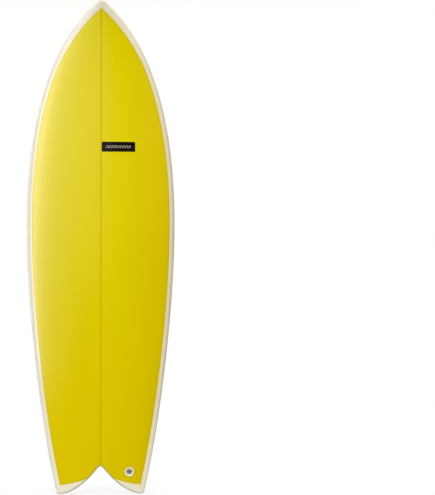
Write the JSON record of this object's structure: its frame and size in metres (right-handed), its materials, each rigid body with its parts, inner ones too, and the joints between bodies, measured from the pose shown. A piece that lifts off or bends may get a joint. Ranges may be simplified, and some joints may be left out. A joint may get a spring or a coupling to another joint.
{
  "type": "surfboard",
  "caption": "Short, wide swallow-tail surfboard with a wooden stringer, tinted laminate panels, wrapped rails, a leash cup and slotted fin boxes with set screws.",
  "frame": {"origin": "bottom centre of the board's bounding box as it stands on its tail tips: on the floor, midway between the rails", "axes": "+Z from the tail to the nose, +X from the left rail to the right rail as the deck is seen, +Y from the deck to the bottom"},
  "size_m": [0.536, 0.1096, 1.778],
  "materials": {
    "foam": "shaped polyurethane foam",
    "stringer_wood": "bare basswood",
    "yellow_glass": "polished yellow pigmented fibreglass laminate",
    "cream_glass": "polished cream pigmented fibreglass laminate",
    "label_ink": "plain dark print under clear resin",
    "resin_fill": "filled resin sanded flush",
    "white_plastic": "moulded white plastic",
    "steel": "stainless steel"
  },
  "bodies": {
    "board": {"blank_left": "foam", "blank_right": "foam", "stringer": "stringer_wood", "deck_glass": "yellow_glass", "bottom_glass": "yellow_glass", "rail_glass": "cream_glass", "deck_label": "label_ink", "bottom_label": "label_ink", "leash_bed": "resin_fill", "leash_cup": "white_plastic", "leash_pin": "steel", "fin_bed_left": "resin_fill", "fin_bed_right": "resin_fill", "fin_box_left": "white_plastic", "fin_box_right": "white_plastic"},
    "left_screw": {"fin_screw_left": "steel"},
    "right_screw": {"fin_screw_right": "steel"}
  },
  "joints": [
    {"name": "left_screw_travel", "type": "slide", "parent": "board", "child": "left_screw", "axis": [-0.0368, 0.9952, -0.0906], "range_m": [-0.001, 0.006]},
    {"name": "right_screw_travel", "type": "slide", "parent": "board", "child": "right_screw", "axis": [0.0368, 0.9952, -0.0906], "range_m": [-0.001, 0.006]}
  ]
}
